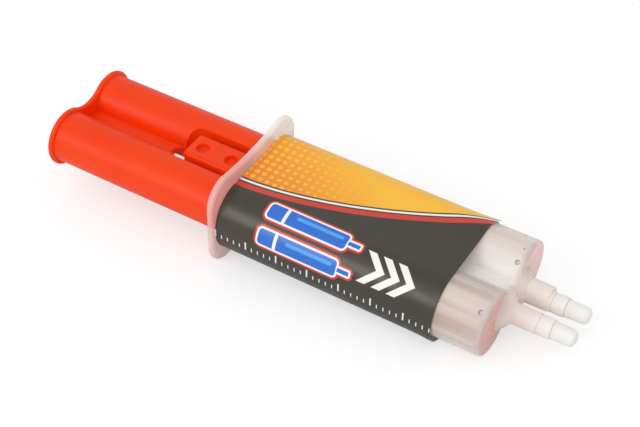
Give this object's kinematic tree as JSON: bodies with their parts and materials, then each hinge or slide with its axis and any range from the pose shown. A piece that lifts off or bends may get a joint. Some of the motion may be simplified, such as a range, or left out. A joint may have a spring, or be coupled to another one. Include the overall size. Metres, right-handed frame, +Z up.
{
  "type": "two-part adhesive syringe",
  "caption": "Twin-barrel adhesive syringe with a double plunger, finger flange, wrap label, break-off outlet tips and a stopper kept between the rods.",
  "frame": {"origin": "under the middle of the syringe, on the surface that its flange stands on", "axes": "+X along the barrels towards the outlets, +Y towards the hardener side, +Z up, with the stopper on the upper side"},
  "size_m": [0.164, 0.0444, 0.0297],
  "materials": {
    "barrel_plastic": "translucent natural polypropylene, satin",
    "label_film": "printed film, semi-gloss",
    "plunger_plastic": "moulded, satin",
    "piston_plastic": "natural, soft",
    "resin_liquid": "clear thick liquid",
    "hardener_liquid": "clear thick liquid",
    "tip_plastic": "translucent natural polypropylene, satin"
  },
  "bodies": {
    "barrel": {"barrel": "barrel_plastic", "label": "label_film", "resin_charge": "resin_liquid", "hardener_charge": "hardener_liquid"},
    "plunger": {"plunger": "plunger_plastic", "piston_resin": "piston_plastic", "piston_hardener": "piston_plastic"},
    "stopper": {"stopper": "plunger_plastic"},
    "tip_resin": {"tip_resin": "tip_plastic"},
    "tip_hardener": {"tip_hardener": "tip_plastic"}
  },
  "joints": [
    {"name": "plunger_slide", "type": "slide", "parent": "barrel", "child": "plunger", "axis": [1, 0, 0], "range_m": [0, 0.0486], "deforming": ["resin_charge", "hardener_charge"]},
    {"name": "stopper_lift", "type": "slide", "parent": "barrel", "child": "stopper", "axis": [0, 0, 1], "range_m": [0, 0.05]},
    {"name": "tip_resin_pull", "type": "slide", "parent": "barrel", "child": "tip_resin", "axis": [1, 0, 0], "range_m": [0, 0.03]},
    {"name": "tip_hardener_pull", "type": "slide", "parent": "barrel", "child": "tip_hardener", "axis": [1, 0, 0], "range_m": [0, 0.03]}
  ],
  "couplings": [
    {"joint": "stopper_lift", "follows": "plunger_slide", "ratio": 1}
  ]
}
